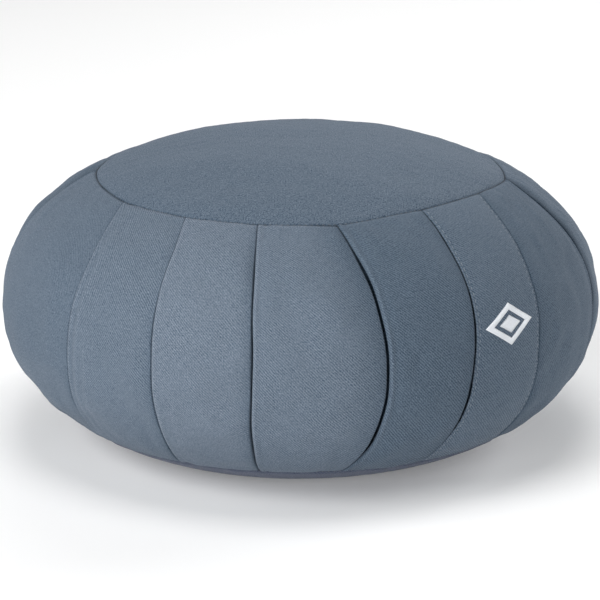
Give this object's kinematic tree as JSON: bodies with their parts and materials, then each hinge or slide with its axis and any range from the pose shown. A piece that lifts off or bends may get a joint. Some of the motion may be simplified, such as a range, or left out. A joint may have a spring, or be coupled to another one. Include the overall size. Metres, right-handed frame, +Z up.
{
  "type": "zafu meditation cushion",
  "caption": "Round filled floor cushion with a crowned top panel, a pleated side band, a stitched upright strip and a flat base to sit on the floor.",
  "frame": {"origin": "middle of the cushion's box on the surface that it rests on, in the middle of its flat base", "axes": "+Z up, through the cushion's crown; -Y towards the picture's camera, with the stitched strip to the right of it towards +X"},
  "size_m": [0.3094, 0.3097, 0.153],
  "materials": {
    "band_cloth": "matte",
    "panel_cloth": "matte",
    "base_cloth": "matte",
    "strip_cloth": "matte",
    "motif_thread": "satin"
  },
  "bodies": {
    "root": {"pleated_body": "band_cloth", "top_panel": "panel_cloth", "bottom_panel": "base_cloth", "front_strip": "strip_cloth"}
  },
  "joints": []
}
